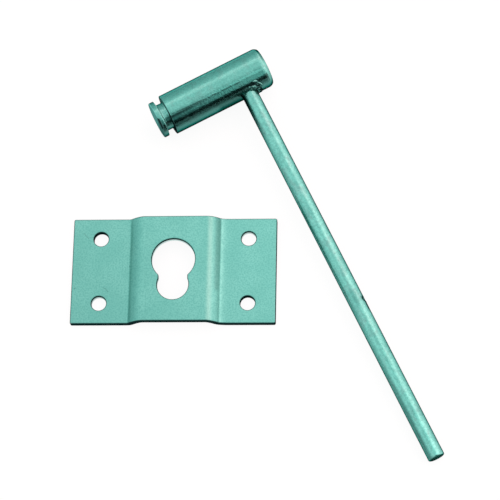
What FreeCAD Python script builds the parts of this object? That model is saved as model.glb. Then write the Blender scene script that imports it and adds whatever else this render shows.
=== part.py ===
import FreeCAD, Part
import math
import os

# Roller shutter lock: a folded keeper plate and, lying beside it, the T-bar that hooks into its keyhole.
# Millimetres, +Z up. The origin is the middle of the plate's four screw holes, on the face
# that goes against the shutter. Both pieces lie on the plane z = 0, as in the photograph.

# Keeper plate, one folded and pierced steel sheet
plate_length = 96.5
plate_width = 52.0
sheet_thickness = 3.0
corner_radius = 0.8
sheared_edge_break = 0.25
pad_flat_length = 30.0
pad_shift = 0.9
pad_clear_height = 4.4
bend_inner_radius = 1.5
joggle_angle = 45.0

# Screw holes in the two lips
screw_hole_diameter = 7.0
screw_spacing_x = 70.0
screw_spacing_y = 32.0

# Turned head of the T-bar
head_diameter = 20.0
body_length = 52.3
end_chamfer_length = 1.6
end_chamfer_depth = 1.0
shoulder_break = 0.3
neck_diameter = 13.4
neck_length = 3.2
neck_root_break = 0.5
flange_diameter = 18.0
flange_rim_thickness = 2.4
flange_back_taper = 0.5
flange_break = 0.4

# Keyhole in the pad: the flange enters the large hole and the neck slides down to the small one
entry_clearance = 1.2
waist_clearance = 0.1
seat_clearance = 0.7
waist_flat_length = 1.0
waist_corner_radius = 1.5
entry_height = 4.35

# Round rod welded into the side of the head
rod_diameter = 8.0
rod_reach = 208.0
rod_from_plain_end = 12.5
rod_lean = 2.2
rod_end_break = 0.5

# Weld bead round the root of the rod, thickest on its upper side towards the plain end
bead_leg = 1.45
bead_swell = 1.2
bead_swell_angle = 130.0
bead_stand_off = 0.4
bead_ripple_count = 13
bead_ripple_step = 0.15
bead_ripple_beat = 2.4

# How the T-bar lies beside the plate
head_place_x = 30.5
head_place_y = 95.5
head_turn = 208.5

# How far from level a wall's normal may be and still count as square to the lips
level_tolerance = 0.01

# Worked out from the sizes above
head_radius = head_diameter / 2
neck_radius = neck_diameter / 2
flange_radius = flange_diameter / 2
rod_radius = rod_diameter / 2
entry_radius = flange_radius + entry_clearance
waist_half = neck_radius + waist_clearance
seat_radius = neck_radius + seat_clearance
X_AXIS = FreeCAD.Vector(1, 0, 0)
Y_AXIS = FreeCAD.Vector(0, 1, 0)
Z_AXIS = FreeCAD.Vector(0, 0, 1)
ORIGIN = FreeCAD.Vector(0, 0, 0)


def point(x, y, z):
    return FreeCAD.Vector(x, y, z)


def line(start, end):
    return Part.LineSegment(start, end).toShape()


def arc(start, middle, end):
    return Part.Arc(start, middle, end).toShape()


def joggle_run():
    """Length along X that one joggle takes, from flat lip to flat pad."""
    angle = math.radians(joggle_angle)
    both_radii = 2 * bend_inner_radius + sheet_thickness
    slope = (pad_clear_height - both_radii * (1 - math.cos(angle))) / math.sin(angle)
    return both_radii * math.sin(angle) + slope * math.cos(angle)


def joggle_edges(pad_edge, outward, upper):
    """Edges of one joggle from the lip up to the pad, on the upper or the lower skin of the sheet."""
    angle = math.radians(joggle_angle)
    inner = bend_inner_radius
    outer = bend_inner_radius + sheet_thickness
    foot_radius = inner if upper else outer
    crest_radius = outer if upper else inner
    skin = sheet_thickness if upper else 0.0
    foot_x = pad_edge + outward * joggle_run()
    foot_centre_z = skin + foot_radius
    crest_centre_z = pad_clear_height + skin - crest_radius

    def on_foot(turn):
        return point(foot_x - outward * foot_radius * math.sin(turn), 0,
                     foot_centre_z - foot_radius * math.cos(turn))

    def on_crest(turn):
        return point(pad_edge + outward * crest_radius * math.sin(turn), 0,
                     crest_centre_z + crest_radius * math.cos(turn))

    return [
        arc(on_foot(0), on_foot(angle / 2), on_foot(angle)),
        line(on_foot(angle), on_crest(angle)),
        arc(on_crest(angle), on_crest(angle / 2), on_crest(0)),
    ]


def plate_section():
    """Closed hat section of the sheet in the plane y = 0."""
    half = plate_length / 2
    left_pad = pad_shift - pad_flat_length / 2
    right_pad = pad_shift + pad_flat_length / 2
    left_foot = left_pad - joggle_run()
    right_foot = right_pad + joggle_run()
    edges = []
    for upper in (False, True):
        lip_z = sheet_thickness if upper else 0.0
        pad_z = pad_clear_height + lip_z
        edges.append(line(point(-half, 0, lip_z), point(left_foot, 0, lip_z)))
        edges += joggle_edges(left_pad, -1, upper)
        edges.append(line(point(left_pad, 0, pad_z), point(right_pad, 0, pad_z)))
        edges += joggle_edges(right_pad, 1, upper)
        edges.append(line(point(right_foot, 0, lip_z), point(half, 0, lip_z)))
    for x in (-half, half):
        edges.append(line(point(x, 0, 0), point(x, 0, sheet_thickness)))
    return Part.Wire(Part.__sortEdges__(edges))


def rounded_blank():
    """Tall block with the plate's outline and its rounded corners."""
    height = pad_clear_height + 3 * sheet_thickness
    corner = point(-plate_length / 2, -plate_width / 2, -sheet_thickness)
    block = Part.makeBox(plate_length, plate_width, height, corner)
    uprights = [edge for edge in block.Edges if edge.BoundBox.ZLength > sheet_thickness]
    return block.makeFillet(corner_radius, uprights)


def keyhole_cutter():
    """Prism of the keyhole: a large hole and a small one, joined by a short parallel waist."""
    corner_x = waist_half + waist_corner_radius
    upper_reach = math.sqrt((entry_radius + waist_corner_radius) ** 2 - corner_x ** 2)
    lower_reach = math.sqrt((seat_radius + waist_corner_radius) ** 2 - corner_x ** 2)
    waist_top = entry_height - upper_reach
    waist_bottom = waist_top - waist_flat_length
    seat_height = waist_bottom - lower_reach

    def corner_points(side, hole_y, hole_radius, waist_y):
        """Start, middle and end of the rounded corner between a hole and the waist."""
        centre = point(side * corner_x, waist_y, 0)
        hole = point(0, hole_y, 0)
        on_hole = hole + (centre - hole) * (hole_radius / (hole_radius + waist_corner_radius))
        on_waist = point(side * waist_half, waist_y, 0)
        inward = (on_hole + on_waist) * 0.5 - centre
        middle = centre + inward * (waist_corner_radius / inward.Length)
        return on_hole, middle, on_waist

    edges = []
    entry_ends = []
    seat_ends = []
    for side in (-1, 1):
        upper = corner_points(side, entry_height, entry_radius, waist_top)
        lower = corner_points(side, seat_height, seat_radius, waist_bottom)
        edges += [arc(*upper), line(upper[2], lower[2]), arc(*lower)]
        entry_ends.append(upper[0])
        seat_ends.append(lower[0])
    edges.append(arc(entry_ends[0], point(0, entry_height + entry_radius, 0), entry_ends[1]))
    edges.append(arc(seat_ends[0], point(0, seat_height - seat_radius, 0), seat_ends[1]))
    face = Part.Face(Part.Wire(Part.__sortEdges__(edges)))
    return face.extrude(Z_AXIS * (pad_clear_height + 2 * sheet_thickness))


def screw_hole_cutters():
    """Four round punches, which run past both skins of the lips."""
    return [
        Part.makeCylinder(screw_hole_diameter / 2, 3 * sheet_thickness, point(x, y, -sheet_thickness))
        for x in (-screw_spacing_x / 2, screw_spacing_x / 2)
        for y in (-screw_spacing_y / 2, screw_spacing_y / 2)
    ]


def height_of_normal(face, place):
    """Upward part of a face's outward normal at a place on it."""
    return face.normalAt(*face.Surface.parameter(place)).z


def upper_cut_edges(sheet):
    """Edges where the upper skin meets the walls left by the shear and the punches."""
    edges = []
    for edge in sheet.Edges:
        middle = edge.valueAt((edge.FirstParameter + edge.LastParameter) / 2)
        neighbours = sheet.ancestorsOfType(edge, Part.Face)
        heights = sorted(height_of_normal(face, middle) for face in neighbours)
        if abs(heights[0]) < level_tolerance < heights[-1]:
            edges.append(edge)
    return edges


def keeper_plate():
    """The folded sheet, cut to length, with its corners, its holes and its broken upper edges."""
    section = Part.Face(plate_section())
    section.translate(point(0, -plate_width / 2, 0))
    sheet = section.extrude(Y_AXIS * plate_width)
    sheet = sheet.common(rounded_blank())
    sheet = sheet.cut(keyhole_cutter())
    for cutter in screw_hole_cutters():
        sheet = sheet.cut(cutter)
    return sheet.makeChamfer(sheared_edge_break, upper_cut_edges(sheet))


def head_outline():
    """Half outline of the turned head: X along its axis, with x = 0 at the rod, and Y as the radius."""
    plain = -rod_from_plain_end
    shoulder = plain + body_length
    flange = shoulder + neck_length
    rim = flange + flange_back_taper
    tip = rim + flange_rim_thickness
    corners = [
        (plain, 0),
        (plain, head_radius - end_chamfer_depth),
        (plain + end_chamfer_length, head_radius),
        (shoulder - shoulder_break, head_radius),
        (shoulder, head_radius - shoulder_break),
        (shoulder, neck_radius + neck_root_break),
        (shoulder + neck_root_break, neck_radius),
        (flange - neck_root_break, neck_radius),
        (flange, neck_radius + neck_root_break),
        (rim, flange_radius - flange_break),
        (rim + flange_break, flange_radius),
        (tip - flange_break, flange_radius),
        (tip, flange_radius - flange_break),
        (tip, 0),
        (plain, 0),
    ]
    return Part.makePolygon([point(x, y, 0) for x, y in corners])


def turned_head():
    return Part.Face(head_outline()).revolve(ORIGIN, X_AXIS, 360)


def rod_direction():
    lean = math.radians(rod_lean)
    return point(math.sin(lean), math.cos(lean), 0)


def head_barrel():
    """Plain cylinder with the head's skin, which trims what is welded to it."""
    return Part.makeCylinder(head_radius, body_length, point(-rod_from_plain_end, 0, 0), X_AXIS)


def long_rod():
    """Round bar with a broken far edge, coped at its root to sit on the head's side."""
    outline = [
        point(0, 0, 0),
        point(rod_radius, 0, 0),
        point(rod_radius, 0, rod_reach - rod_end_break),
        point(rod_radius - rod_end_break, 0, rod_reach),
        point(0, 0, rod_reach),
        point(0, 0, 0),
    ]
    bar = Part.Face(Part.makePolygon(outline)).revolve(ORIGIN, Z_AXIS, 360)
    bar.Placement = FreeCAD.Placement(ORIGIN, FreeCAD.Rotation(Z_AXIS, rod_direction()))
    return bar.cut(head_barrel())


def bead_radius(turn, number):
    """The bead is thickest on one side of the rod, and its ripples are uneven."""
    away = math.radians(bead_swell_angle) - turn
    swell = bead_swell * (1 + math.cos(away)) / 2
    return bead_leg + swell + bead_ripple_step * math.sin(bead_ripple_beat * number)


def saddle_point(turn, outside):
    """Point of the head's skin, turned about the rod's axis and that far outside the rod's skin."""
    lean = math.radians(rod_lean)
    along = rod_direction()
    across = point(math.cos(lean), -math.sin(lean), 0)
    spread = rod_radius + outside
    around = across * (spread * math.cos(turn)) + Z_AXIS * (spread * math.sin(turn))
    level = math.sqrt(head_radius ** 2 - around.z ** 2)
    return around + along * ((level - around.y) / along.y)


def weld_bead():
    """Ring of overlapping ripples round the rod's root, trimmed by the head and the rod."""
    ripples = []
    for number in range(bead_ripple_count):
        turn = 2 * math.pi * number / bead_ripple_count
        radius = bead_radius(turn, number)
        ripples.append(Part.makeSphere(radius, saddle_point(turn, bead_stand_off * radius)))
    bead = ripples[0].multiFuse(ripples[1:])
    full_rod = Part.makeCylinder(rod_radius, rod_reach, ORIGIN, rod_direction())
    return bead.cut(head_barrel()).cut(full_rod)


def lying_place():
    """The T-bar rests on its head's round side and on the far end of its rod."""
    contact = rod_reach - rod_end_break
    slope = math.asin(head_radius / math.hypot(contact, rod_radius)) - math.atan2(rod_radius, contact)
    droop = math.degrees(math.asin(math.sin(slope) / math.cos(math.radians(rod_lean))))
    tip_down = FreeCAD.Placement(ORIGIN, FreeCAD.Rotation(X_AXIS, -droop))
    turn = FreeCAD.Rotation(Z_AXIS, head_turn)
    return FreeCAD.Placement(point(head_place_x, head_place_y, head_radius), turn).multiply(tip_down)


def laid_down(shape):
    shape.Placement = lying_place().multiply(shape.Placement)
    return shape


nodes = {
    "keeper_plate": keeper_plate(),
    "lock_head": laid_down(turned_head()),
    "lock_rod": laid_down(long_rod()),
    "weld_bead": laid_down(weld_bead()),
}

os.makedirs("parts", exist_ok=True)
for name, shape in nodes.items():
    solids = shape.Solids
    box = shape.BoundBox
    print(name, "solids", len(solids), "valid", shape.isValid(), "volume", round(shape.Volume, 1),
          "z", round(box.ZMin, 3), round(box.ZMax, 3))
    if len(solids) == 1:
        shape = solids[0]
    shape.exportStep(os.path.join("parts", name + ".step"))
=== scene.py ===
import bpy
import math
from mathutils import Matrix, Vector, noise
from mathutils.geometry import delaunay_2d_cdt


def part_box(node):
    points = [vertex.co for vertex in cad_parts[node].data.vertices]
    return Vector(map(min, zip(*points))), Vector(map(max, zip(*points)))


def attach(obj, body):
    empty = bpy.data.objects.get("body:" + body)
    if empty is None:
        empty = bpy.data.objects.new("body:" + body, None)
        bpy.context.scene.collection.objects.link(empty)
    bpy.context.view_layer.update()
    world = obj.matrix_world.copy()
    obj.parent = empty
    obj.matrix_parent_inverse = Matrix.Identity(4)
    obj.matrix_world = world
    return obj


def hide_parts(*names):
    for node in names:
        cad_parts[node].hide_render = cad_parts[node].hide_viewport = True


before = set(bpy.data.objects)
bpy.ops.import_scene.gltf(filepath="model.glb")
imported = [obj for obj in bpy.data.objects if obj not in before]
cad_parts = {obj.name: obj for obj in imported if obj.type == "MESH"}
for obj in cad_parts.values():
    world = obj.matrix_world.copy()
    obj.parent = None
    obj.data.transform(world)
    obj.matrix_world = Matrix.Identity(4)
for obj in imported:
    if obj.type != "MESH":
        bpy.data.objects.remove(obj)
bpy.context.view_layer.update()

# Roller shutter lock: a folded keeper plate and the T-bar that hooks into its keyhole.
# Lengths are in millimetres in this script and become metres in meshes, nodes, the lamp and the camera.
MM = 0.001

# Keeper plate: its outer sizes come from the frame, the rest is the folded and pierced sheet
plate_low, plate_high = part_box("keeper_plate")
plate_half_length = (plate_high.x - plate_low.x) / 2 / MM
plate_half_width = (plate_high.y - plate_low.y) / 2 / MM
sheet_thickness = 3.0
pad_clear_height = (plate_high.z - plate_low.z) / MM - sheet_thickness
corner_radius = 0.8
pad_left = -13.8
pad_right = 15.0
# Slope of the sheet's upper skin down each fold: (distance past the pad's edge, degrees)
left_fold = (
    (0.0, 0), (0.7, 8), (1.7, 18), (2.7, 27), (3.7, 33), (4.7, 36), (5.7, 38), (6.5, 43), (7.1, 40),
    (7.5, 15), (7.9, 4), (8.7, 0),
)
right_fold = (
    (0.0, 0), (0.5, 3), (1.5, 14), (2.5, 24), (3.5, 35), (4.5, 40), (5.5, 43), (6.3, 47), (6.8, 47),
    (7.15, 27), (7.7, 15), (8.5, 9.5), (9.5, 5), (11.5, 0),
)
fold_reach = 11.5
fold_step = 0.02
screw_hole_radius = 3.5
screw_x = 35.0
screw_y = 16.0
keyhole_entry_radius = 10.2
keyhole_entry_y = 4.35
keyhole_seat_radius = 7.4
keyhole_waist_half = 6.8
keyhole_waist_flat = 1.365
keyhole_corner_radius = 0.9

# How finely the sheet's edges, folds and flats are divided
outline_step = 0.8
outline_corner_step = 0.15
screw_hole_step = 0.4
keyhole_step = 0.45
keyhole_corner_step = 0.12
bend_steps = 46
skin_search_step = 0.2
skin_search_count = 11
grid_step = 2.6
grid_clearance = 1.6

# How the punched and sheared edges of the sheet look
rim_round = 0.4
burr_round = 0.07
rim_border = 0.35
burnished_share = 0.35
fracture_taper = 0.07
fracture_roughness = 0.04
fracture_grain = 0.55
wall_shares = (0.15, 0.3, 0.42, 0.55, 0.7, 0.85)
# Where the broken part of the wall is still bright: outer edge, keyhole, then the four screw holes
bright_walls = (False, True, True, False, False, True)
sheet_wave_height = 0.035
sheet_wave_length = 17.0

# Turned head, along its own X axis, with x = 0 at the rod
head_radius = 10.0
plain_end = -12.5
shoulder = 39.8
neck_radius = 6.7
flange_back = shoulder + 3.2
flange_rim = flange_back + 0.5
flange_radius = 9.0
flange_tip = flange_rim + 2.4
head_segments = 224
# Worn chamfer of the plain end: (past the end, below the skin, rounding)
end_chamfer = ((0.0, 1.1, 0.25), (0.75, 0.42, 0.7), (1.75, 0.05, 0), (1.9, 0.06, 0), (2.1, 0.0, 0))
# Tool marks round the neck and chatter along the body
neck_grooves = (40.7, 41.2, 41.7, 42.2)
groove_half = 0.15
groove_depth = 0.04
chatter_depth = 0.006
chatter_length = 2.2

# Rod, welded into the side of the head
rod_radius = 4.0
rod_reach = 208.0
rod_lean = math.radians(2.2)
rod_axis = Vector((math.sin(rod_lean), math.cos(rod_lean), 0))
rod_across = Vector((math.cos(rod_lean), -math.sin(rod_lean), 0))
rod_end_break = 0.5
rod_root_depth = 8.7
rod_root_round = 0.55
rod_nick_at = 126.0
rod_segments = 96
# The drawn skin lies this far under the full radius, give or take its long streaks and waves
skin_depth = 0.02
streak_depth = 0.012
wave_depth = 0.008

# Dents: (along, degrees round the bar, reach along, reach around, depth); a depth under 0 stands up
head_dents = ((28.0, 75, 0.8, 0.5, 0.05),)
rod_dents = (
    (rod_nick_at, 26, 0.8, 1.0, 0.6),
    (rod_nick_at + 1.6, 15, 0.9, 1.2, -0.1),
    (rod_nick_at - 1.5, 84, 4.0, 1.7, 0.16),
)

# How the T-bar lies: the head's place and turn, and where its rod and its plain end point
head_place = Vector((30.5, 95.5, head_radius))
head_turn = math.radians(208.5)
rod_side = Vector((-math.sin(head_turn), math.cos(head_turn), 0))
plain_side = Vector((-math.cos(head_turn), -math.sin(head_turn), 0))

# Marks on the sheet: (corners, width)
sheet_scratches = (
    (((-43.3, 18.9, 3.0), (-41.0, 16.4, 3.0)), 0.3),
    (((-46.7, -8.6, 3.0), (-46.5, -8.4, 3.0)), 0.55),
    (((-33.2, -8.3, 3.0), (-31.9, -8.9, 3.0), (-30.9, -10.3, 3.0)), 0.3),
    (((-21.0, 2.0, 3.0), (-21.0, 2.6, 3.0)), 0.5),
    (((-16.4, 6.6, 5.5), (-16.4, 7.3, 5.5)), 0.5),
    (((19.8, 11.2, 4.4), (19.7, 11.8, 4.4)), 0.45),
    (((22.4, 2.2, 3.0), (22.4, 3.2, 3.0)), 0.4),
)
# Marks along the right fold: (x, from y, to y, width); the first is a painted highlight colour on its
# crest, the second painted shade on its lower slope
crest_highlight_tint = (17.2, -26.0, 26.0, 2.4)
fold_slope_shade = (20.4, -9.0, 26.0, 2.6)

# Marks, painted light and painted shade on the head, then on the rod, along the T-bar's own axes: (corners,
# width)
top_dark_line = (((38.8, 3.97, 9.18), (20.0, 4.65, 8.86), (3.0, 4.9, 8.71)), 0.42)
# Painted shade: dark strips along the body's top and on the neck
body_shade_strip = (((39.6, 5.1, 8.6), (18.0, 4.8, 8.77)), 1.5)
neck_shade_strip = (((40.2, 3.84, 5.49), (42.9, 3.84, 5.49)), 1.8)
rim_x = flange_tip - 0.05
# Painted shade: a dark streak on the flange's rim
rim_shade_streak = (((rim_x, 6.9, 5.8), (rim_x, 5.3, 7.27), (rim_x, 3.4, 8.33)), 1.5)
# Painted light: a brighter band along the head's far side
far_side_light_band = (((plain_end + 2, -7.4, 6.73), (shoulder, -7.4, 6.73)), 2.0)
# A darker patch on the head's side by the rod
weld_side_patch = (((6.0, 9.8, 1.5), (15.0, 9.8, 1.5)), 3.5)
# Painted shade: a darker patch on the rod's top near the nick
rod_shade_patch = (((5.0, 121.8, 3.98), (5.2, 127.2, 3.98)), 3.4)
nick_pit = (((1.7, 125.6, 2.3), (1.5, 126.3, 1.9)), 1.9)
nick_tail = (((1.5, 126.5, 2.0), (1.7, 131.5, 2.0)), 0.9)
# Painted shade along the rod's left flank near its far end
far_flank_shade = (((8.42, 139.8, 2.59), (11.03, 207.8, 2.59)), 1.9)

# Weld bead: the run of ripples round the rod's root
bead_leg = 0.55
bead_swell = 0.35
bead_swell_turn = math.radians(165)
bead_thinning = 0.3
bead_thin_turn = math.radians(80)
bead_ripple_count = 60
bead_ripple_depth = 0.05
bead_ripple_beat = 1.1
# Low mounds beside it on the head's skin: (along, degrees round the head, radius, height)
bead_mounds = (
    (-1.2, 34, 1.6, 0.3), (-2.6, 38.5, 1.6, 0.3), (-3.6, 31, 1.9, 0.35), (-4.6, 24, 1.9, 0.4),
    (-5.2, 14, 1.9, 0.45), (-5.3, 4, 1.9, 0.5), (-5.0, -7, 1.9, 0.5), (-4.0, -18, 1.8, 0.5),
)
# Ridges of its thick side: corners as (along, degrees round the head), then radius and lift
bead_ridges = (
    (((-2.9, 45), (-3.6, 43.9), (-4.3, 42), (-4.8, 39.5)), 0.7, -0.25),
    (((-4.9, 36), (-5.7, 30.5), (-6.3, 23), (-6.6, 16)), 0.62, -0.05),
    (((-0.6, 33), (-1.4, 33), (-2.4, 30.5), (-3.3, 27.5)), 0.95, -0.45),
    (((-3.9, 20), (-4.6, 12), (-5.2, 5)), 0.85, -0.35),
    (((-6.2, 3), (-6.1, -5), (-5.4, -16), (-4.2, -24)), 0.8, -0.35),
)
ridge_step = 0.28
# Hollows between the lumps, dented in and coloured near black as painted shade: (along, degrees round the
# head, reach)
bead_hollows = (
    (-1.4, 39.5, 0.75), (-2.5, 38, 0.75), (-3.5, 35.5, 0.7), (-4.3, 31, 0.7), (-5.0, 25.5, 0.6),
    (-5.6, 18, 0.6), (-6.1, 10, 0.6), (-2.0, 24, 0.6), (-3.3, 20, 0.6), (-4.6, 19, 0.45),
    (-5.9, 1, 0.9), (-5.0, 9, 0.8), (-4.9, -9, 0.9), (-6.2, -9, 0.9), (0.5, 26.5, 0.6),
    (2.2, 27, 0.7), (3.6, 24, 0.9), (4.6, 12, 1.1), (4.8, 0, 1.3), (4.6, -14, 1.3),
)
hollow_lift = 0.2
hollow_depth = 0.3
ball_rings = 10
bead_voxel = 0.13
bead_lump_size = 1.1
bead_lump_height = 0.09
bead_grain_size = 0.45
bead_grain_height = 0.05

# Photograph's view of the part, with angles in radians
view_target = Vector((35.443, 11.286, 0.0))
view_azimuth = 0.20757
view_elevation = 1.21575
view_distance = 1150.075
view_roll = -0.2002
view_focal_pixels = 2438.05
photo_width_pixels = 500
sensor_width = 36.0


def mesh_piece(name, points, faces, place=None, sharp_angle=40):
    """Mesh object from points in millimetres, smooth but for edges sharper than an angle."""
    mesh = bpy.data.meshes.new(name)
    mesh.from_pydata([Vector(p) * MM for p in points], [], faces)
    if place is not None:
        mesh.transform(place)
    mesh.validate()
    mesh.shade_smooth()
    mesh.set_sharp_from_angle(angle=math.radians(sharp_angle))
    return linked(name, mesh)


def linked(name, data):
    """New object in the scene."""
    made = bpy.data.objects.new(name, data)
    bpy.context.scene.collection.objects.link(made)
    return made


def even_normals(piece):
    """Lets large faces rule the shading beside narrow rounded rims."""
    modifier = piece.modifiers.new("even_normals", "WEIGHTED_NORMAL")
    modifier.keep_sharp = True


def point_values(piece, name, values):
    """Stores one number per vertex for the material to read."""
    layer = piece.data.attributes.new(name, "FLOAT", "POINT")
    layer.data.foreach_set("value", values)


def noise_at(x, y, z, size):
    """Smooth noise from -1 to 1 whose lumps are about that size in millimetres."""
    return noise.noise(Vector((x, y, z)) / size)


# Keeper plate

def slope_of(past, fold):
    """Fall of the sheet per length at a distance past the pad's edge."""
    for (start, start_turn), (end, end_turn) in zip(fold, fold[1:]):
        if start <= past < end:
            share = (past - start) / (end - start)
            share = share * share * (3 - 2 * share) if end_turn == 0 else share
            return math.tan(math.radians(start_turn + (end_turn - start_turn) * share))
    return 0.0


def summed_drops(fold):
    """Drop below the pad at every step past its edge, so scaled that the last is the pad's height."""
    drops = [0.0]
    for number in range(math.ceil(fold_reach / fold_step)):
        drops.append(drops[-1] + fold_step * slope_of((number + 0.5) * fold_step, fold))
    return [drop * pad_clear_height / drops[-1] for drop in drops]


left_drops = summed_drops(left_fold)
right_drops = summed_drops(right_fold)


def fold_drop(past, drops):
    """How far the sheet has dropped below the pad at a distance past the pad's edge."""
    spot = min(max(past / fold_step, 0.0), len(drops) - 1.001)
    before = math.floor(spot)
    return drops[before] + (drops[before + 1] - drops[before]) * (spot - before)


def upper_height(x):
    """Height of the sheet's upper skin above the lips' back face."""
    drop = fold_drop(pad_left - x, left_drops) + fold_drop(x - pad_right, right_drops)
    return sheet_thickness + pad_clear_height - drop


def lower_height(x):
    """Height of the lower skin, a sheet's thickness from the upper one square to it."""
    steps = range(-skin_search_count, skin_search_count + 1)
    reaches = [skin_search_step * step for step in steps]
    return min(upper_height(x + reach) - math.sqrt(sheet_thickness ** 2 - reach ** 2) for reach in reaches)


known_heights = {}


def skin_height(x, upper):
    """Height of either skin, worked out once for each place along X."""
    key = (round(x, 6), upper)
    if key not in known_heights:
        known_heights[key] = upper_height(x) if upper else max(0.0, lower_height(x))
    return known_heights[key]


def sheet_wave(x, y):
    """Faint unevenness of the pressed sheet, which never stands proud of its true thickness."""
    return sheet_wave_height * (0.5 + 0.5 * noise_at(x, y, 40, sheet_wave_length))


def bend_stations():
    """Places along X that follow both folds closely."""
    reaches = [fold_reach * step / bend_steps for step in range(bend_steps + 1)]
    return [pad_left - reach for reach in reversed(reaches)] + [pad_right + reach for reach in reaches]


def filled(stations, step):
    """The same stations with more between them, so that no gap is over a step."""
    full = [stations[0]]
    for station in stations[1:]:
        gap = station - full[-1]
        parts = max(1, math.ceil(gap / step))
        start = full[-1]
        full += [start + gap * part / parts for part in range(1, parts + 1)]
    return full


def arc_points(centre, radius, start, end, facing, step):
    """Points (x, y, normal x, normal y) on an arc, without its last one; angles in radians."""
    count = max(2, math.ceil(abs(end - start) * radius / step))
    points = []
    for part in range(count):
        turn = start + (end - start) * part / count
        out = (math.cos(turn), math.sin(turn))
        points.append((centre[0] + radius * out[0], centre[1] + radius * out[1],
                       facing * out[0], facing * out[1]))
    return points


def outline_loop():
    """Outer edge of the sheet, anticlockwise, with outward normals."""
    flat_x = plate_half_length - corner_radius
    flat_y = plate_half_width - corner_radius
    along_x = filled([-flat_x] + bend_stations() + [flat_x], outline_step)
    along_y = filled([-flat_y, flat_y], outline_step)
    sides = (
        [(x, -plate_half_width, 0, -1) for x in along_x[:-1]],
        [(plate_half_length, y, 1, 0) for y in along_y[:-1]],
        [(x, plate_half_width, 0, 1) for x in reversed(along_x[1:])],
        [(-plate_half_length, y, -1, 0) for y in reversed(along_y[1:])],
    )
    centres = ((flat_x, -flat_y), (flat_x, flat_y), (-flat_x, flat_y), (-flat_x, -flat_y))
    quarter = math.pi / 2
    loop = []
    for number, (side, centre) in enumerate(zip(sides, centres)):
        start = (number - 1) * quarter
        loop += side + arc_points(centre, corner_radius, start, start + quarter, 1, outline_corner_step)
    return loop


def screw_hole_loop(x, y):
    """A round hole, clockwise, with normals into the hole."""
    return arc_points((x, y), screw_hole_radius, 2 * math.pi, 0, -1, screw_hole_step)


def keyhole_loop():
    """The keyhole's edge, clockwise, with normals into the hole."""
    corner = keyhole_corner_radius
    corner_x = keyhole_waist_half + corner
    entry_reach = math.sqrt((keyhole_entry_radius + corner) ** 2 - corner_x ** 2)
    seat_reach = math.sqrt((keyhole_seat_radius + corner) ** 2 - corner_x ** 2)
    waist_top = keyhole_entry_y - entry_reach
    waist_bottom = waist_top - keyhole_waist_flat
    entry = (0, keyhole_entry_y)
    seat = (0, waist_bottom - seat_reach)
    entry_turn = math.atan2(-entry_reach, corner_x)
    seat_turn = math.atan2(seat_reach, corner_x)
    half = math.pi
    step = keyhole_corner_step
    arcs = (
        (entry, keyhole_entry_radius, entry_turn, half - entry_turn, -1, keyhole_step),
        ((-corner_x, waist_top), corner, -entry_turn, 0, 1, step),
        ((-corner_x, waist_bottom), corner, 0, -seat_turn, 1, step),
        (seat, keyhole_seat_radius, half - seat_turn, 2 * half + seat_turn, -1, keyhole_step),
        ((corner_x, waist_bottom), corner, half + seat_turn, half, 1, step),
        ((corner_x, waist_top), corner, half, half + entry_turn, 1, step),
    )
    return [point for arc in arcs for point in arc_points(*arc)][::-1]


def plate_loops():
    """The sheet's outer edge first, then every hole."""
    holes = [screw_hole_loop(x, y) for x in (-screw_x, screw_x) for y in (-screw_y, screw_y)]
    return [outline_loop(), keyhole_loop()] + holes


def in_polygon(x, y, polygon):
    """True where a point lies inside a closed polygon."""
    inside = False
    for (ax, ay), (bx, by) in zip(polygon, polygon[1:] + polygon[:1]):
        if (ay > y) != (by > y) and x < ax + (y - ay) * (bx - ax) / (by - ay):
            inside = not inside
    return inside


def in_hole(spot, rings):
    """True where a spot lies in any ring but the outer one."""
    return any(in_polygon(spot.x, spot.y, ring) for ring in rings[1:])


def nearest(places, x, y):
    """Index of the place nearest to (x, y)."""
    spot = Vector((x, y))
    return min(range(len(places)), key=lambda i: (places[i] - spot).length)


def add_bend_columns(places, outer, rows):
    """Adds a column of places across the sheet at every bend station, and gives their edges."""
    edges = []
    for station in bend_stations():
        column = [nearest(outer, station, rows[0])]
        for y in rows[1:-1]:
            places.append(Vector((station, y)))
            column.append(len(places) - 1)
        column.append(nearest(outer, station, rows[-1]))
        edges += list(zip(column, column[1:]))
    return edges


def flat_spots(rings, rows):
    """Staggered places on the lips and the pad, clear of every ring."""
    ring_places = [Vector(place) for ring in rings for place in ring]
    bends = bend_stations()
    flats = ((-plate_half_length, bends[0]), (pad_left, pad_right), (bends[-1], plate_half_length))
    spots = []
    for left, right in flats:
        for number, y in enumerate(rows[1:-1]):
            start = left + grid_step / 2 * (number % 2)
            for column in range(1, math.floor((right - left) / grid_step)):
                spot = Vector((start + column * grid_step, y))
                clear = all((spot - place).length > grid_clearance for place in ring_places)
                if spot.x <= right - grid_clearance and clear and not in_hole(spot, rings):
                    spots.append(spot)
    return spots


def skin_patch(rings):
    """Triangles that fill the sheet between its rings: places, triangles and each ring's indices."""
    outer = [Vector(place) for place in rings[0]]
    places = [Vector(place) for ring in rings for place in ring]
    starts = [sum(len(ring) for ring in rings[:number]) for number in range(len(rings))]
    edges = []
    for start, ring in zip(starts, rings):
        edges += [(start + i, start + (i + 1) % len(ring)) for i in range(len(ring))]
    rows = filled([min(place.y for place in outer), max(place.y for place in outer)], grid_step)
    edges += add_bend_columns(places, outer, rows)
    places += flat_spots(rings, rows)
    found, _, triangles, origins, _, _ = delaunay_2d_cdt(places, edges, [], 0, 1e-7)
    new_index = {old: new for new, olds in enumerate(origins) for old in olds}
    kept = []
    for triangle in triangles:
        middle = sum((found[i] for i in triangle), Vector((0, 0))) / 3
        if not in_hole(middle, rings):
            kept.append(tuple(triangle))
    ring_indices = [[new_index[start + i] for i in range(len(ring))] for start, ring in zip(starts, rings)]
    return found, kept, ring_indices


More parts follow.
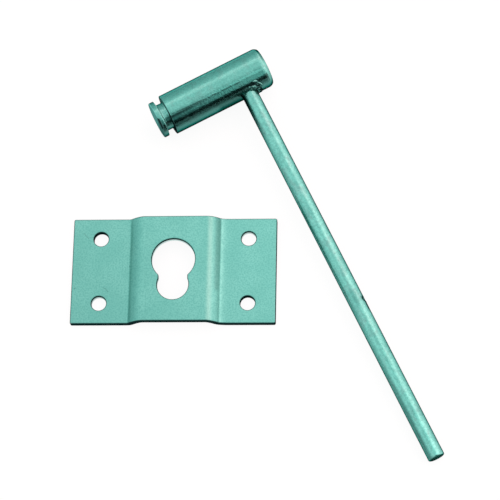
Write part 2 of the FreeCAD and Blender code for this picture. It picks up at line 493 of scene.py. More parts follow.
def rim_rings():
    """Rings round the rounded rim of a cut edge: (inset, rise above the skin, how cut it looks)."""
    rings = []
    for turn in (0, 30, 60, 90):
        inset = rim_round * (1 - math.sin(math.radians(turn)))
        drop = rim_round * (1 - math.cos(math.radians(turn)))
        rings.append((inset, -drop, min(1.0, 0.2 + turn / 75)))
    return rings


def wall_inset(x, y, z, share):
    """How far the fractured lower part of a cut edge falls back behind its burnished top."""
    fractured = max(0.0, share - burnished_share) / (1 - burnished_share)
    rough = 0.5 + 0.5 * noise_at(x, y, z, fracture_grain)
    return fracture_taper * fractured + fracture_roughness * rough * min(1.0, 3 * fractured)


def wall_places(loop, share):
    """Places round a cut wall at a share of its height from the top."""
    places = []
    for x, y, nx, ny in loop:
        top = skin_height(x, True) - rim_round
        base = skin_height(x, False) + burr_round
        z = top + (base - top) * share
        inset = wall_inset(x, y, z, share)
        places.append((x - nx * inset, y - ny * inset, z))
    return places


def keeper_plate_piece():
    """The sheet: two triangulated skins and, round every edge, a rounded rim and a cut wall."""
    loops = plate_loops()
    points = []
    faces = []
    cut = []

    def add(x, y, z, mask):
        side = -1 if z > skin_height(x, False) + sheet_thickness / 2 else 1
        points.append((x, y, z + side * sheet_wave(x, y)))
        cut.append(mask)
        return len(points) - 1

    def inset_rings(inset):
        return [[(x - nx * inset, y - ny * inset) for x, y, nx, ny in loop] for loop in loops]

    places, triangles, upper_rings = skin_patch(inset_rings(rim_round + rim_border))
    for place in places:
        add(place.x, place.y, skin_height(place.x, True), 0.0)
    faces += triangles

    first_lower = len(points)
    places, triangles, lower_rings = skin_patch(inset_rings(burr_round))
    for place in places:
        add(place.x, place.y, skin_height(place.x, False), 0.3)
    faces += [tuple(first_lower + i for i in reversed(triangle)) for triangle in triangles]

    for loop, upper_ring, lower_ring, bright in zip(loops, upper_rings, lower_rings, bright_walls):
        rows = [upper_ring]
        for inset, rise, mask in rim_rings():
            rows.append([
                add(x - nx * inset, y - ny * inset, skin_height(x - nx * inset, True) + rise, mask)
                for x, y, nx, ny in loop
            ])
        for share in wall_shares:
            mask = 2.0 if bright and share > burnished_share else 1.0
            rows.append([add(*place, mask) for place in wall_places(loop, share)])
        mask = 2.0 if bright else 1.0
        rows.append([add(x, y, skin_height(x, False) + burr_round, mask) for x, y, _, _ in loop])
        rows.append([first_lower + i for i in lower_ring])
        for above, below in zip(rows, rows[1:]):
            for i in range(len(loop)):
                j = (i + 1) % len(loop)
                faces.append((below[i], below[j], above[j], above[i]))
    piece = mesh_piece("folded_keeper_plate", points, faces, sharp_angle=45)
    point_values(piece, "cut_edge", cut)
    even_normals(piece)
    return piece


# Turned head and rod

def rounded_path(corners, steps=4):
    """Path through (along, radius, rounding) corners, each rounded by a short curve."""
    path = [Vector(corners[0][:2])]
    for before, corner, after in zip(corners, corners[1:], corners[2:]):
        place = Vector(corner[:2])
        rounding = corner[2]
        if rounding == 0:
            path.append(place)
            continue
        start = place + (Vector(before[:2]) - place).normalized() * rounding
        end = place + (Vector(after[:2]) - place).normalized() * rounding
        for step in range(steps + 1):
            share = step / steps
            path.append(start * (1 - share) ** 2 + place * 2 * share * (1 - share) + end * share ** 2)
    path.append(Vector(corners[-1][:2]))
    return path


def denser_path(path, longest):
    """The same path with no run longer than a limit."""
    dense = [path[0]]
    for place in path[1:]:
        start = dense[-1]
        parts = max(1, math.ceil((place - start).length / longest))
        dense += [start.lerp(place, part / parts) for part in range(1, parts + 1)]
    return dense


def turned(path, segments, axes, dent=None):
    """Points and faces of a turned solid from a path of (along, radius) that starts and ends at nought."""
    along_axis, first_axis, second_axis = axes
    points = []
    rings = []
    for spot in path:
        if spot.y < 1e-6:
            points.append(along_axis * spot.x)
            rings.append([len(points) - 1] * segments)
            continue
        rings.append(range(len(points), len(points) + segments))
        for number in range(segments):
            turn = 2 * math.pi * number / segments
            out = first_axis * math.cos(turn) + second_axis * math.sin(turn)
            radius = spot.y - (dent(spot.x, turn) if dent else 0.0)
            points.append(along_axis * spot.x + out * radius)
    faces = []
    for before, after in zip(rings, rings[1:]):
        for i in range(segments):
            j = (i + 1) % segments
            corners = (before[i], before[j], after[j], after[i])
            # A pole is one corner given twice, and is kept once
            faces.append(tuple(dict.fromkeys(corners)))
    return points, faces


def lathe(name, path, segments, place, axes, dent):
    """Turned piece, with its dents and its unevenness."""
    points, faces = turned(path, segments, axes, dent)
    piece = mesh_piece(name, points, faces, place, sharp_angle=50)
    even_normals(piece)
    return piece


def lying_place():
    """Matrix of the T-bar, which rests on its head's round side and on the rod's far end."""
    contact = rod_reach - rod_end_break
    slope = math.asin(head_radius / math.hypot(contact, rod_radius)) - math.atan2(rod_radius, contact)
    droop = math.asin(math.sin(slope) / math.cos(rod_lean))
    turn = Matrix.Rotation(head_turn, 4, "Z") @ Matrix.Rotation(-droop, 4, "X")
    return Matrix.Translation(head_place * MM) @ turn


def dented(dents, along, turn, radius):
    """Depth of the dents on a round bar at a place given along and around it."""
    depth = 0.0
    for spot, degrees, reach_along, reach_around, deepest in dents:
        off = (along - spot) / reach_along
        away = math.remainder(turn - math.radians(degrees), 2 * math.pi) * radius / reach_around
        depth += deepest * math.exp(-(away ** 2 + off ** 2))
    return depth


def head_dent(along, turn):
    """Handling dings and the lathe's faint chatter on the head."""
    chatter = chatter_depth * (0.5 + 0.5 * noise_at(along, 0, 7, chatter_length))
    return chatter + dented(head_dents, along, turn, head_radius)


def groove_corners():
    """Corners of the fine tool marks round the neck."""
    corners = []
    for along in neck_grooves:
        corners.append((along - groove_half, neck_radius, 0))
        corners.append((along, neck_radius - groove_depth, 0))
        corners.append((along + groove_half, neck_radius, 0))
    return corners


def lock_head_piece(place):
    """The turned head: worn chamfer, body, grooved neck and flange."""
    corners = [
        (plain_end, 0, 0),
        *[(plain_end + past, head_radius - depth, rounding) for past, depth, rounding in end_chamfer],
        (shoulder, head_radius - 0.01, 0.3),
        (shoulder, neck_radius, 0.2),
        *groove_corners(),
        (flange_back, neck_radius, 0.1),
        (flange_rim, flange_radius, 0.25),
        (flange_tip, flange_radius, 0.5),
        (flange_tip, 0, 0),
    ]
    path = denser_path(rounded_path(corners), 1.2)
    axes = (Vector((1, 0, 0)), Vector((0, 1, 0)), Vector((0, 0, 1)))
    return lathe("turned_head", path, head_segments, place, axes, head_dent)


def rod_dent(along, turn):
    """The nick near the rod's middle, and the slight unevenness of a drawn bar."""
    streak = noise_at(0.02 * along, 2.2 * math.cos(turn), 2.2 * math.sin(turn), 1.0)
    wave = noise_at(0.16 * along, 0.6 * math.cos(turn), 0.6 * math.sin(turn), 1.0)
    uneven = skin_depth + streak_depth * streak + wave_depth * wave
    return dented(rod_dents, along, turn, rod_radius) + uneven


def lock_rod_piece(place):
    """The round rod, with closer rings at its nick."""
    corners = [
        (rod_root_depth, 0, 0),
        (rod_root_depth, rod_radius - rod_root_round, 0),
        (rod_root_depth + rod_root_round, rod_radius, 0.3),
        *[(along, rod_radius, 0) for along in filled([rod_nick_at - 5, rod_nick_at + 4], 0.3)],
        (rod_reach, rod_radius, 1.5 * rod_end_break),
        (rod_reach, 0, 0),
    ]
    path = denser_path(rounded_path(corners), 1.0)
    up = Vector((0, 0, 1))
    return lathe("long_rod", path, rod_segments, place, (rod_axis, up.cross(rod_axis), up), rod_dent)


# Weld bead

def saddle_point(turn, outside, lift):
    """Place on the head's skin, turned about the rod's axis and that far outside the rod's skin."""
    spread = rod_radius + outside
    around = rod_across * (spread * math.cos(turn)) + Vector((0, 0, spread * math.sin(turn)))
    level = math.sqrt(head_radius ** 2 - around.z ** 2)
    skin = around + rod_axis * ((level - around.y) / rod_axis.y)
    out = Vector((0, skin.y, skin.z)).normalized()
    return skin + out * lift


def skin_spot(along, degrees, lift):
    """Place on the head's skin, given along its axis and by degrees round it."""
    turn = math.radians(degrees)
    radius = head_radius + lift
    return Vector((along, radius * math.cos(turn), radius * math.sin(turn)))


def ridge(path, radius, lift):
    """Close overlapping lumps, smaller at both ends, along a path of (along, degrees round the head)."""
    runs = list(zip(path, path[1:]))
    lengths = [math.hypot(b[0] - a[0], math.radians(b[1] - a[1]) * head_radius) for a, b in runs]
    lumps = []
    done = 0.0
    for (start, end), length in zip(runs, lengths):
        count = max(1, round(length / ridge_step))
        for number in range(count):
            share = number / count
            along, turn = (a + (b - a) * share for a, b in zip(start, end))
            progress = (done + length * share) / sum(lengths)
            taper = 0.55 + 0.45 * math.sin(math.pi * progress)
            swell = 1 + 0.3 * noise_at(along, turn / 5, lift, 0.8)
            size = radius * swell * taper
            lumps.append((skin_spot(along, turn, lift * size), size))
        done += length
    return lumps


def bead_lumps():
    """Ripples of the run round the root, low mounds, then the ridges of its thick side: (place, radius)."""
    lumps = []
    for number in range(bead_ripple_count):
        turn = 2 * math.pi * number / bead_ripple_count
        swell = bead_swell * max(0.0, math.cos(bead_swell_turn - turn)) ** 2
        thinning = bead_thinning * max(0.0, math.cos(bead_thin_turn - turn)) ** 2
        ripple = bead_ripple_depth * math.sin(bead_ripple_beat * number)
        radius = bead_leg + swell - thinning + ripple
        lumps.append((saddle_point(turn, 0.75 * radius, -0.5 * radius), radius))
    for along, degrees, radius, height in bead_mounds:
        lumps.append((skin_spot(along, degrees, height - radius), radius))
    for path, radius, lift in bead_ridges:
        lumps += ridge(path, radius, lift)
    return lumps


def bead_pit(spot):
    """How deep in a dark hollow a place on the bead is, from 0 to 1."""
    deepest = 0.0
    for along, degrees, reach in bead_hollows:
        away = (spot - skin_spot(along, degrees, hollow_lift)).length
        deepest = max(deepest, 1 - away / (2 * reach))
    return deepest


def melted_lumps(place):
    """Mesh of the bead's lumps, melted together by a voxel remesh and softened."""
    tilts = [math.pi * ring / ball_rings for ring in range(ball_rings + 1)]
    half_circle = [Vector((math.cos(tilt), math.sin(tilt))) for tilt in tilts]
    axes = (Vector((0, 0, 1)), Vector((1, 0, 0)), Vector((0, 1, 0)))
    ball_points, ball_faces = turned(half_circle, 2 * ball_rings, axes)
    points = []
    faces = []
    for centre, radius in bead_lumps():
        faces += [tuple(len(points) + i for i in face) for face in ball_faces]
        points += [centre + spot * radius for spot in ball_points]
    raw = mesh_piece("raw_bead", points, faces, place)
    remesh = raw.modifiers.new("melt", "REMESH")
    remesh.mode = "VOXEL"
    remesh.voxel_size = bead_voxel * MM
    soften = raw.modifiers.new("soften", "SMOOTH")
    soften.iterations = 3
    mesh = bpy.data.meshes.new_from_object(raw.evaluated_get(bpy.context.evaluated_depsgraph_get()))
    bpy.data.objects.remove(raw)
    return mesh


def weld_bead_piece(place):
    """The bead, roughened and hollowed; its pits are marked for the material."""
    mesh = melted_lumps(place)
    home = place.inverted()
    pits = []
    moved = []
    for vertex, normal in zip(mesh.vertices, mesh.vertex_normals):
        spot = (home @ vertex.co) / MM
        coarse = noise_at(spot.x, spot.y, spot.z, bead_lump_size)
        fine = noise_at(spot.x + 9, spot.y, spot.z, bead_grain_size)
        hollow = bead_pit(spot)
        height = bead_lump_height * coarse + bead_grain_height * fine - hollow_depth * hollow
        moved.append(vertex.co + normal.vector * height * MM)
        pits.append(min(1.0, max(0.0, 1.6 * hollow - 0.5 * coarse - 0.2)))
    for vertex, co in zip(mesh.vertices, moved):
        vertex.co = co
    mesh.name = "weld_run"
    mesh.shade_smooth()
    piece = linked("weld_run", mesh)
    point_values(piece, "pit", pits)
    return piece


# Materials

class Nodes:
    """Short calls that add shader nodes to one material or world."""

    def __init__(self, owner):
        owner.use_nodes = True
        self.tree = owner.node_tree
        self.tree.nodes.clear()
        self.place = None

    def feed(self, socket, value):
        """Links a socket to another, or sets a plain value on it."""
        if isinstance(value, bpy.types.NodeSocket):
            self.tree.links.new(value, socket)
        else:
            socket.default_value = value

    def add(self, kind, inputs=(), **settings):
        """Outputs of a new node whose inputs are fed by name or number."""
        node = self.tree.nodes.new(kind)
        for name, value in settings.items():
            setattr(node, name, value)
        for name, value in dict(inputs).items():
            self.feed(node.inputs[name], value)
        return node.outputs

    def follow_surface(self, home=None):
        """Works from the surface place in metres, along the part's axes or a home matrix's."""
        self.place = self.add("ShaderNodeTexCoord")["Object"]
        if home is not None:
            inputs = {"Vector": self.place, "Location": home.to_translation(), "Rotation": home.to_euler()}
            self.place = self.add("ShaderNodeMapping", inputs, vector_type="TEXTURE")["Vector"]

    def part(self, axis):
        """One coordinate of the surface place."""
        return self.add("ShaderNodeSeparateXYZ", {"Vector": self.place})[axis]

    def stored(self, name):
        """Number stored per vertex."""
        return self.add("ShaderNodeAttribute", attribute_name=name)["Fac"]

    def math(self, operation, first, second, clamp=False):
        return self.add("ShaderNodeMath", {0: first, 1: second}, operation=operation, use_clamp=clamp)[0]

    def times(self, first, second):
        return self.math("MULTIPLY", first, second)

    def vector(self, operation, first, second=(0, 0, 0)):
        outputs = self.add("ShaderNodeVectorMath", {0: first, 1: second}, operation=operation)
        return outputs["Value" if operation in ("DOT_PRODUCT", "LENGTH") else "Vector"]

    def scaled(self, vector, factor):
        """Vector or colour times a factor."""
        return self.add("ShaderNodeVectorMath", {0: vector, "Scale": factor}, operation="SCALE")["Vector"]

    def spread(self, value, low, high, to_low=0.0, to_high=1.0, smooth=True):
        """Maps a range to another, clamped."""
        inputs = {"Value": value, "From Min": low, "From Max": high, "To Min": to_low, "To Max": to_high}
        curve = "SMOOTHSTEP" if smooth else "LINEAR"
        return self.add("ShaderNodeMapRange", inputs, interpolation_type=curve)["Result"]

    def span(self, length, low, high, to_low=0.0, to_high=1.0):
        """Maps a range in millimetres to another, clamped."""
        return self.spread(length, low * MM, high * MM, to_low, to_high)

    def band(self, length, rise, fall, most=1.0):
        """Mask that rises over one range in millimetres and falls over a later one."""
        return self.times(self.span(length, *rise), self.span(length, *fall, most, 0.0))

    def noise(self, size, detail=2.0, stretch=(1, 1, 1)):
        """Noise whose grains are about that size in millimetres, longer where stretch is over 1."""
        shaped = self.vector("MULTIPLY", self.place, tuple(1 / part for part in stretch))
        inputs = {"Vector": shaped, "Scale": 1 / (size * MM), "Detail": detail}
        return self.add("ShaderNodeTexNoise", inputs)["Fac"]

    def blend(self, factor, first, second):
        """Second colour where the factor is 1."""
        return self.add("ShaderNodeMix", {"Factor": factor, 6: first, 7: second}, data_type="RGBA")[2]

    def stained(self, colour, mask, share, stain):
        """Colour that turns into a stain by a share of the mask."""
        return self.blend(self.times(mask, share), colour, stain)

    def darkened(self, colour, mask, share=1.0):
        """Colour that loses a share of its brightness where the mask is 1."""
        return self.scaled(colour, self.math("SUBTRACT", 1.0, self.times(mask, share)))

    def bumps(self, layers):
        """Normal bent by several (height, full depth in millimetres) layers."""
        normal = {}
        for height, depth in layers:
            inputs = {"Strength": 1.0, "Distance": depth * MM, "Height": height, **normal}
            normal = {"Normal": self.add("ShaderNodeBump", inputs)["Normal"]}
        return normal["Normal"]

    def streak(self, start, end, width):
        """Mask of a thin straight mark between two points in millimetres."""
        begin = Vector(start) * MM
        run = Vector(end) * MM - begin
        offset = self.vector("SUBTRACT", self.place, tuple(begin))
        reached = self.vector("DOT_PRODUCT", offset, tuple(run))
        share = self.math("MULTIPLY", reached, 1 / run.length_squared, clamp=True)
        away = self.vector("LENGTH", self.vector("SUBTRACT", offset, self.scaled(tuple(run), share)))
        return self.span(away, 0.0, width, 1.0, 0.0)

    def mark(self, corners, width):
        """Mask of a thin mark through several corners."""
        return self.most([self.streak(*ends, width) for ends in zip(corners, corners[1:])])

    def most(self, masks):
        """The strongest of several masks."""
        strongest = masks[0]
        for mask in masks[1:]:
            strongest = self.math("MAXIMUM", strongest, mask)
        return strongest

    def metal(self, colour, roughness, normal, scale_mask=0.0, edge_tint=(0.06, 0.13, 0.13)):
        """Principled metal, but for dull dark scale where the mask is 1, joined to the output."""
        inputs = {
            "Base Color": colour, "Roughness": roughness, "Normal": normal,
            "Metallic": self.math("SUBTRACT", 1.0, scale_mask, clamp=True),
            "Specular Tint": (*edge_tint, 1), "Specular IOR Level": 0.0,
        }
        shader = self.add("ShaderNodeBsdfPrincipled", inputs)["BSDF"]
        self.add("ShaderNodeOutputMaterial", {"Surface": shader})

    def mixed(self, factor, first, second):
        """The second shader where the factor is 1."""
        return self.add("ShaderNodeMixShader", {0: factor, 1: first, 2: second})["Shader"]


plated = (0.134, 0.404, 0.351, 1)
plated_pale = (0.15, 0.43, 0.375, 1)
plated_dull = (0.098, 0.33, 0.29, 1)
plated_grey = (0.15, 0.29, 0.27, 1)
plated_shaded = (0.06, 0.22, 0.195, 1)
plated_highlight_tint = (0.2, 0.34, 0.29, 1)
cut_steel = (0.005, 0.02, 0.02, 1)
bare_steel = (0.8, 0.92, 0.9, 1)
faced_steel = (0.055, 0.2, 0.18, 1)
faced_painted_light = (0.12, 0.42, 0.38, 1)
flange_back_highlight = (0.17, 0.56, 0.5, 1)
weld_highlight_pale = (0.22, 0.42, 0.38, 1)
pit_shade = (0.003, 0.012, 0.012, 1)


def new_material(name, home=None):
    """A material and its nodes, which work from the surface place."""
    material = bpy.data.materials.new(name)
    nodes = Nodes(material)
    nodes.follow_surface(home)
    return material, nodes


def mottled(nodes, size, share):
    """Plating that is a little paler in broad patches and duller in fine specks."""
    patches = nodes.noise(size)
    specks = nodes.noise(0.75)
    pale = nodes.spread(patches, 0.4, 0.65)
    dull = nodes.spread(specks, 0.4, 0.66, 0.0, share)
    return nodes.blend(dull, nodes.blend(pale, plated, plated_pale), plated_dull)


def clouds(nodes, size, start, end, share, stretch=(1, 1, 1)):
    """Mask of soft clouds, up to a share, where noise passes from start to end."""
    return nodes.spread(nodes.noise(size, stretch=stretch), start, end, 0.0, share)


def painted_light_drift(nodes, colour):
    """Painted light: plating colour that grows slightly paler towards the plate's far right corner."""
    share = nodes.vector("DOT_PRODUCT", nodes.place, (1.6, 1.1, 0))
    return nodes.scaled(colour, nodes.math("ADD", share, 1.01))


def grained(nodes, colour, share):
    """Fine uneven tone of a drawn or turned bar, lighter and darker by up to a share."""
    grains = nodes.noise(1.1, 1.0)
    return nodes.scaled(colour, nodes.spread(grains, 0.3, 0.7, 1 - share, 1 + share))


def crevice_shade(nodes, colour, reach, least):
    """Painted shade: colour darkened where the surface faces something within that many millimetres."""
    openness = nodes.add("ShaderNodeAmbientOcclusion", {"Distance": reach * MM}, samples=8)["AO"]
    return nodes.scaled(colour, nodes.spread(openness, 0.35, 0.9, least, 1.0, smooth=False))


def underside_shade(nodes, colour, least):
    """Painted shade: colour darker where the surface faces sideways or down."""
    upward = nodes.vector("DOT_PRODUCT", nodes.add("ShaderNodeNewGeometry")["Normal"], (0, 0, 1))
    return nodes.scaled(colour, nodes.spread(upward, -0.1, 0.7, least, 1.0, smooth=False))


def fold_mark(nodes, x, start, end, width):
    """Mask of a mark along a fold, on the sheet's upper skin."""
    height = upper_height(x)
    return nodes.mark(((x, start, height), (x, end, height)), width)


def plated_sheet_material():
    """Matt plating with fine scratches, dark or bright cut walls, painted light paler to the far right, a
    painted highlight colour on the right fold's crest, and painted shade on its slope and in crevices.
    """
    material, nodes = new_material("plated_sheet")
    colour = painted_light_drift(nodes, mottled(nodes, 11.0, 0.75))
    worn = nodes.most([nodes.mark(*scratch) for scratch in sheet_scratches])
    colour = nodes.stained(colour, worn, 0.4, cut_steel)
    # Painted highlight: the right fold's crest turns greyer and redder
    colour = nodes.stained(colour, fold_mark(nodes, *crest_highlight_tint), 0.28, plated_highlight_tint)
    # Painted shade: darker along the right fold's lower slope
    colour = nodes.darkened(colour, fold_mark(nodes, *fold_slope_shade), 0.24)
    cut = nodes.stored("cut_edge")
    bright = nodes.spread(cut, 1.1, 1.8)
    dark = nodes.math("SUBTRACT", nodes.spread(cut, 0.0, 0.8), bright)
    colour = nodes.blend(dark, colour, cut_steel)
    colour = nodes.blend(bright, colour, bare_steel)
    colour = crevice_shade(nodes, colour, 12.0, 0.75)
    roughness = nodes.spread(nodes.noise(6.0, 3.0), 0.3, 0.7, 0.32, 0.4)
    normal = nodes.bumps([(nodes.noise(0.6, 3.0), 0.012), (nodes.noise(3.5), 0.03)])
    scale = nodes.math("SUBTRACT", nodes.spread(cut, 0.2, 0.9), bright)
    nodes.metal(colour, roughness, normal, scale, edge_tint=(0.45, 0.65, 0.63))
    return material


def top_line_and_shade(nodes, along, colour):
    """The broken dark line along the head's top, and painted shade in dark strips on its body and neck."""
    broken = nodes.spread(nodes.noise(2.0), 0.35, 0.6, 0.25, 0.75)
    colour = nodes.stained(colour, nodes.mark(*top_dark_line), broken, cut_steel)
    # Painted shade: dark strips on the body, fading towards the plain end, and on the neck
    fading = nodes.span(along, 16, 36, 0.0, 0.75)
    on_body = nodes.times(nodes.mark(*body_shade_strip), fading)
    on_neck = nodes.times(nodes.mark(*neck_shade_strip), 0.55)
    return nodes.blend(nodes.most([on_body, on_neck]), colour, cut_steel)


def faced(nodes, along, across, colour):
    """Faces square to the head's axis, with painted light on one side, a painted highlight on the flange's
    sloping back and painted shade in a streak on its rim: colour, and mask of dull scale.
    """
    flange_end = nodes.span(along, flange_tip - 0.45, flange_tip - 0.2)
    shoulder_face = nodes.band(along, (shoulder - 0.2, shoulder - 0.1), (shoulder + 0.1, shoulder + 0.2))
    slope_start = (flange_back + 0.03, flange_back + 0.1)
    flange_slope = nodes.band(along, slope_start, (flange_rim - 0.05, flange_rim + 0.08))
    streak = nodes.spread(nodes.mark(*rim_shade_streak), 0.1, 0.75)
    # Painted light: the faces square to the axis take a paler colour on one side of the head and a darker
    # one on the other
    lit = nodes.span(across, 0.8, 3.2, 1.0, 0.0)
    colour = nodes.blend(flange_end, colour, nodes.blend(lit, faced_steel, faced_painted_light))
    colour = nodes.blend(shoulder_face, colour, nodes.blend(lit, cut_steel, faced_steel))
    # Painted highlight: the flange's sloping back is paler
    colour = nodes.blend(flange_slope, colour, flange_back_highlight)
    # Painted shade: a dark streak on the flange's rim
    colour = nodes.blend(streak, colour, cut_steel)
    return colour, nodes.most([flange_end, shoulder_face, flange_slope, streak])


def turned_steel_material(home):
    """Satin turned bar with a worn end, a broken dark line along its top, painted light and shade, and fine
    turning marks.
    """
    material, nodes = new_material("turned_steel", home)
    along = nodes.part("X")
    across = nodes.part("Y")
    colour = mottled(nodes, 9.0, 0.4)
    colour = nodes.blend(clouds(nodes, 5.0, 0.5, 0.62, 0.25), colour, plated_grey)
    # Painted shade: the worn chamfer is darkened, most on the head's far side
    worn_edge = (plain_end + 0.9, plain_end + 1.6)
    chamfer = nodes.band(along, (plain_end + 0.02, plain_end + 0.2), worn_edge, 0.55)
    colour = nodes.darkened(colour, chamfer, nodes.span(across, -2.0, 3.0, 1.0, 0.0))
    colour = top_line_and_shade(nodes, along, colour)
    colour, dull = faced(nodes, along, across, colour)
    # Painted light: the head's colour is brighter along its far side
    far_side_light = nodes.times(nodes.mark(*far_side_light_band), 0.7)
    colour = nodes.scaled(colour, nodes.math("ADD", far_side_light, 1.0))
    # Darker patch on the head's side by the rod
    colour = nodes.darkened(colour, nodes.mark(*weld_side_patch), 0.5)
    # Painted shade: darker along the outermost strip of the head's far side
    colour = nodes.scaled(colour, nodes.span(across, -8.9, -7.9, 0.7, 1.0))
    colour = underside_shade(nodes, grained(nodes, colour, 0.06), 0.5)
    colour = crevice_shade(nodes, colour, 2.0, 0.8)
    patches = nodes.noise(4.0, 3.0)
    roughness = nodes.spread(patches, 0.3, 0.7, 0.14, 0.2)
    normal = nodes.bumps([
        (nodes.noise(0.35, stretch=(1, 400, 400)), 0.006),
        (nodes.noise(2.5, stretch=(1, 60, 60)), 0.012),
        (patches, 0.07),
        (nodes.noise(0.9), 0.06),
    ])
    nodes.metal(colour, roughness, normal, dull)
    return material


def painted_flank_shade(nodes):
    """Mask of the rod's darker sides: painted shade on its left flank by the weld, along its left flank
    near its far end, and along its right edge.
    """
    reach = nodes.part("Y")
    side = nodes.vector("DOT_PRODUCT", nodes.place, tuple(rod_across))
    # Painted shade on the left flank by the weld
    root_shade = nodes.times(nodes.span(side, 2.4, 3.7), nodes.span(reach, 12, 40, 0.83, 0.0))
    # Painted shade along the left flank near the far end
    fading = nodes.span(reach, 140, 190, 0.0, 0.45)
    worn = nodes.times(nodes.mark(*far_flank_shade), fading)
    # The last mask is painted shade along the rod's right edge
    return nodes.most([root_shade, worn, nodes.span(side, -3.9, -3.0, 0.4, 0.0)])


def drawn_bar_material(home):
    """Satin drawn bar with long streaks, a dark nick, and painted shade in a darker patch, along its sides
    and underneath.
    """
    material, nodes = new_material("drawn_bar", home)
    colour = mottled(nodes, 8.0, 0.4)
    colour = nodes.blend(clouds(nodes, 3.0, 0.5, 0.66, 0.4, (1, 2.5, 1)), colour, plated_grey)
    colour = nodes.blend(clouds(nodes, 4.5, 0.48, 0.62, 0.35, (1, 2.0, 1)), colour, plated_dull)
    # Painted shade: a darker patch on the rod's top near the nick
    colour = nodes.stained(colour, nodes.mark(*rod_shade_patch), 0.5, plated_shaded)
    nick = nodes.most([nodes.mark(*nick_pit), nodes.mark(*nick_tail)])
    colour = nodes.stained(colour, nick, 0.95, cut_steel)
    colour = grained(nodes, nodes.scaled(colour, 1.07), 0.11)
    colour = underside_shade(nodes, colour, 0.52)
    colour = nodes.darkened(colour, painted_flank_shade(nodes))
    colour = crevice_shade(nodes, colour, 1.5, 0.6)
    patches = nodes.noise(4.0, 3.0, (1, 3, 1))
    roughness = nodes.spread(patches, 0.3, 0.7, 0.22, 0.31)
    normal = nodes.bumps([
        (nodes.noise(0.7, stretch=(1, 70, 1)), 0.04),
        (patches, 0.12),
        (nodes.noise(0.8), 0.07),
    ])
    nodes.metal(colour, roughness, normal)
    return material


def weld_metal_material(home):
    """Rough plated weld metal, with pale patches as painted highlights and its pits near black as painted
    shade.
    """
    material, nodes = new_material("weld_metal", home)
    colour = nodes.scaled(mottled(nodes, 2.0, 0.5), 0.8)
    # Painted highlight: pale patches at random on the bead
    colour = nodes.blend(clouds(nodes, 1.1, 0.4, 0.6, 0.35), colour, weld_highlight_pale)
    pit = nodes.spread(nodes.stored("pit"), 0.15, 0.6)
    # Painted shade: the pits turn near black
    colour = nodes.blend(pit, colour, pit_shade)
    colour = crevice_shade(nodes, colour, 2.0, 0.3)
    roughness = nodes.spread(nodes.noise(0.8), 0.3, 0.7, 0.25, 0.42)
    normal = nodes.bumps([(nodes.noise(0.5), 0.02)])
    nodes.metal(colour, roughness, normal, nodes.times(pit, 0.8))
    return material


# Studio: floor, surroundings and camera

def floor_material():
    """White paper, which camera and reflections see a little brighter than it is lit."""
    material = bpy.data.materials.new("floor_paper")
    nodes = Nodes(material)
    paper = nodes.add("ShaderNodeBsdfDiffuse", {"Color": (0.92, 0.92, 0.92, 1)})["BSDF"]
    glow = nodes.add("ShaderNodeEmission")["Emission"]
    sheen = nodes.add("ShaderNodeBsdfGlossy", {"Roughness": 0.35})["BSDF"]
    rays = nodes.add("ShaderNodeLightPath")
    seen = nodes.math("ADD", rays["Is Camera Ray"], rays["Is Glossy Ray"], clamp=True)
    seen = nodes.math("ADD", seen, rays["Is Transmission Ray"], clamp=True)
    lit = nodes.mixed(nodes.times(seen, 0.92), paper, glow)
    facing = nodes.spread(nodes.add("ShaderNodeLayerWeight")["Facing"], 0.15, 0.85)
    grazing = nodes.times(facing, rays["Is Glossy Ray"])
    coated = nodes.mixed(nodes.times(grazing, 0.95), lit, sheen)
    nodes.add("ShaderNodeOutputMaterial", {"Surface": coated})
    return material


def floor_piece():
    """A plain white floor just under the part."""
    half = 4000.0
    below = -0.06
    corners = [(-half, -half, below), (half, -half, below), (half, half, below), (-half, half, below)]
    floor = mesh_piece("floor", corners, [(0, 1, 2, 3)])
    floor.data.materials.append(floor_material())


# Brightness of the surroundings round the head, by degrees from straight up: minus is behind it
back_and_front = [
    (-180, 0.8), (-120, 0.8), (-100, 0.95), (-85, 0.8), (-72, 0.84), (-60, 0.95), (-50, 1.07),
    (-43, 1.34), (-37, 1.76), (-30, 1.62), (-22, 1.34), (-12, 1.2), (0, 1.15), (10, 1.08), (17, 0.92),
    (22, 0.62), (26, 0.85), (32, 0.78), (36, 0.22), (41, 0.12), (45, 0.3), (54, 0.32), (62, 0.2),
    (67, 0.1), (71, 0.01), (90, 0.01), (97, 0.04), (180, 0.22),
]
# The same from left to right, as the rod shows it
left_and_right = [
    (-180, 0.7), (-110, 0.85), (-92, 1.02), (-78, 1.06), (-64, 1.18), (-50, 1.36), (-36, 1.46),
    (-24, 1.36), (-8, 1.22), (4, 1.24), (14, 1.4), (24, 1.78), (34, 2.08), (44, 2.06), (54, 1.84),
    (66, 1.74), (80, 1.62), (92, 1.3), (104, 0.9), (180, 0.8),
]
plain_level = 1.35


def light_colour(level):
    """Colour of one level: brighter surroundings are whiter, darker ones greener, as on tinted metal."""
    share = max(level, 0.001) / plain_level
    red = level * share ** (0.9 if share > 1 else 0.35)
    return (red, level, level)


def world_ramp(nodes, angle, stops):
    """Colour by an angle in radians; the ramp holds each level as a share of twice the top one."""
    highest = 2 * max(level for _, level in stops)
    node = nodes.tree.nodes.new("ShaderNodeValToRGB")
    bar = node.color_ramp
    while len(bar.elements) < len(stops):
        bar.elements.new(0.5)
    for element, (degrees, level) in zip(bar.elements, stops):
        element.position = (degrees + 180) / 360
        element.color = (*[part / highest for part in light_colour(level)], 1)
    nodes.feed(node.inputs["Fac"], nodes.spread(angle, -math.pi, math.pi, smooth=False))
    return nodes.scaled(node.outputs["Color"], highest)


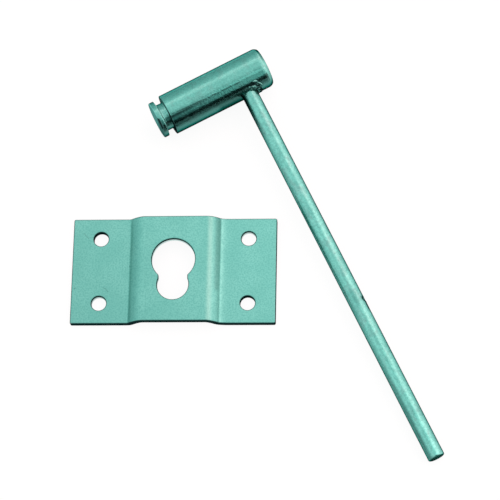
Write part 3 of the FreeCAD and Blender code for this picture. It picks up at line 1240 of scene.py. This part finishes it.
def surroundings():
    """Soft studio: pale overhead, a strip behind, a bright window to the right, a dark room in front."""
    world = bpy.data.worlds.new("studio")
    bpy.context.scene.world = world
    nodes = Nodes(world)
    direction = nodes.add("ShaderNodeTexCoord")["Generated"]
    axes = (tuple(rod_side), tuple(plain_side), (0, 0, 1))
    front, right, up = [nodes.vector("DOT_PRODUCT", direction, axis) for axis in axes]
    front_colour = world_ramp(nodes, nodes.math("ARCTAN2", front, up), back_and_front)
    right_colour = world_ramp(nodes, nodes.math("ARCTAN2", right, up), left_and_right)
    front_square = nodes.times(front, front)
    right_square = nodes.times(right, right)
    both = nodes.math("ADD", nodes.math("ADD", front_square, right_square), 1e-4)
    sideways = nodes.spread(nodes.math("DIVIDE", right_square, both), 0.04, 0.45)
    colour = nodes.blend(sideways, front_colour, right_colour)
    background = nodes.add("ShaderNodeBackground", {"Color": colour})["Background"]
    nodes.add("ShaderNodeOutputWorld", {"Surface": background})


def side_window():
    """A dim soft panel on the rod's side, which reaches along the head's plain end only."""
    distance = 300.0
    height = 218.0
    length = 260.0
    start = 18.0
    tilt = math.radians(44)
    back = rod_side * math.sin(tilt) + Vector((0, 0, math.cos(tilt)))
    middle = head_place + back * distance + plain_side * (start + length / 2)
    data = bpy.data.lights.new("side_window", "AREA")
    data.shape = "RECTANGLE"
    data.size = length * MM
    data.size_y = height * MM
    data.energy = 0.085
    data.color = (0.8, 1.0, 0.97)
    lamp = linked("side_window", data)
    turn = Matrix((plain_side, back.cross(plain_side), back)).transposed().to_4x4()
    lamp.matrix_world = Matrix.Translation(middle * MM) @ turn
    lamp.visible_camera = False


def photo_camera():
    """Camera at the photograph's viewing angle."""
    turn = Matrix.Rotation(view_azimuth, 4, "Z") @ Matrix.Rotation(math.pi / 2 - view_elevation, 4, "X")
    turn = turn @ Matrix.Rotation(view_roll, 4, "Z")
    data = bpy.data.cameras.new("photo_view")
    data.sensor_width = sensor_width
    data.lens = view_focal_pixels / photo_width_pixels * sensor_width
    camera = linked("photo_view", data)
    away = Matrix.Translation((0, 0, view_distance * MM))
    camera.matrix_world = Matrix.Translation(view_target * MM) @ turn @ away
    bpy.context.scene.camera = camera


def finish_piece(piece, material, node):
    """Gives a piece its material, hides the CAD node it stands for and attaches it to the root body."""
    piece.data.materials.clear()
    piece.data.materials.append(material)
    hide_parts(node)
    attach(piece, "root")


photo_camera()
surroundings()
side_window()
floor_piece()
bpy.context.scene.view_settings.view_transform = "Standard"

t_bar_place = lying_place()
finish_piece(keeper_plate_piece(), plated_sheet_material(), "keeper_plate")
finish_piece(lock_head_piece(t_bar_place), turned_steel_material(t_bar_place), "lock_head")
finish_piece(lock_rod_piece(t_bar_place), drawn_bar_material(t_bar_place), "lock_rod")
finish_piece(weld_bead_piece(t_bar_place), weld_metal_material(t_bar_place), "weld_bead")
